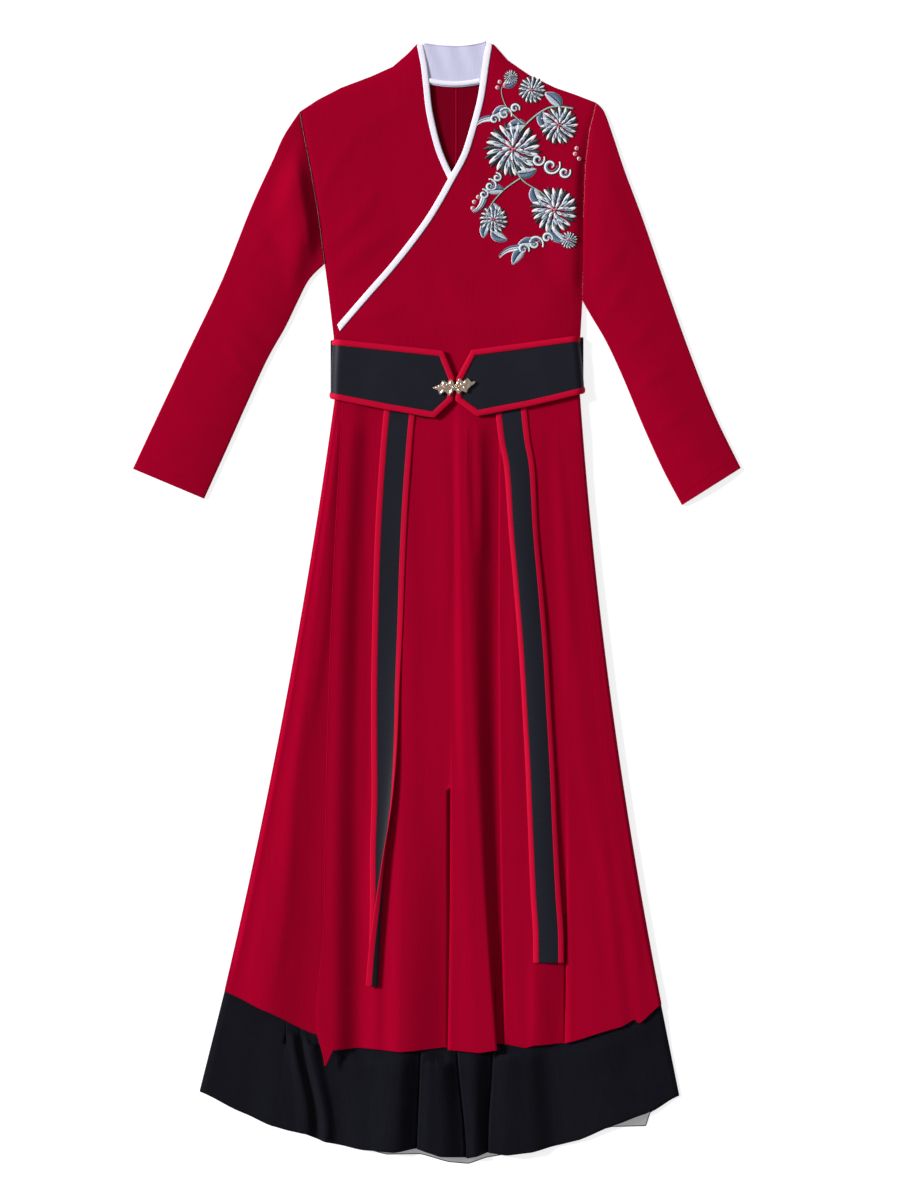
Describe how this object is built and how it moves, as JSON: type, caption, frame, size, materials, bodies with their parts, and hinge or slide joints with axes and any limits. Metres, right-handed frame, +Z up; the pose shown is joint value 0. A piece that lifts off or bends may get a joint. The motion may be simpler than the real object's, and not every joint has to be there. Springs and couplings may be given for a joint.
{
  "type": "hanfu dress",
  "caption": "Cross-collar hanfu dress laid flat, with long sleeves, a pointed belt with clasp and streamers, and a flared skirt over a chiffon underskirt.",
  "frame": {"origin": "the middle of the laid-out dress, on the surface that it lies on", "axes": "+Z up from the surface, +Y towards the collar, +X towards the wearer's left sleeve"},
  "size_m": [0.7596, 1.399, 0.0267],
  "materials": {
    "crimson_crepe": "fine matt polyester crepe, crimson",
    "red_binding": "bias binding, a brighter red with a slight sheen",
    "black_satin": "blue-black matt satin",
    "black_chiffon": "thin black chiffon",
    "white_trim": "white bias trim",
    "collar_lining": "lavender-white cotton lining",
    "clasp_metal": "polished pale rose-gold plate"
  },
  "bodies": {
    "root": {"back_right": "crimson_crepe", "back_left": "crimson_crepe", "front_right": "crimson_crepe", "front_left": "crimson_crepe", "sleeve_right": "crimson_crepe", "sleeve_left": "crimson_crepe", "collar_back": "crimson_crepe", "collar_lining": "collar_lining", "neck_seam_band": "white_trim", "neck_trim_right": "white_trim", "neck_trim_left": "white_trim", "skirt_back": "crimson_crepe", "skirt_side_panel": "crimson_crepe", "skirt_front": "crimson_crepe", "underskirt_back": "black_chiffon", "underskirt_front": "black_chiffon", "belt_back": "black_satin", "belt_wing_right": "black_satin", "belt_wing_left": "black_satin", "belt_binding_right": "red_binding", "belt_binding_left": "red_binding", "streamer_right_core": "black_satin", "streamer_right_edging_a": "red_binding", "streamer_right_edging_b": "red_binding", "streamer_left_core": "black_satin", "streamer_left_edging_a": "red_binding", "streamer_left_edging_b": "red_binding", "clasp_right": "clasp_metal", "clasp_left": "clasp_metal"}
  },
  "joints": []
}
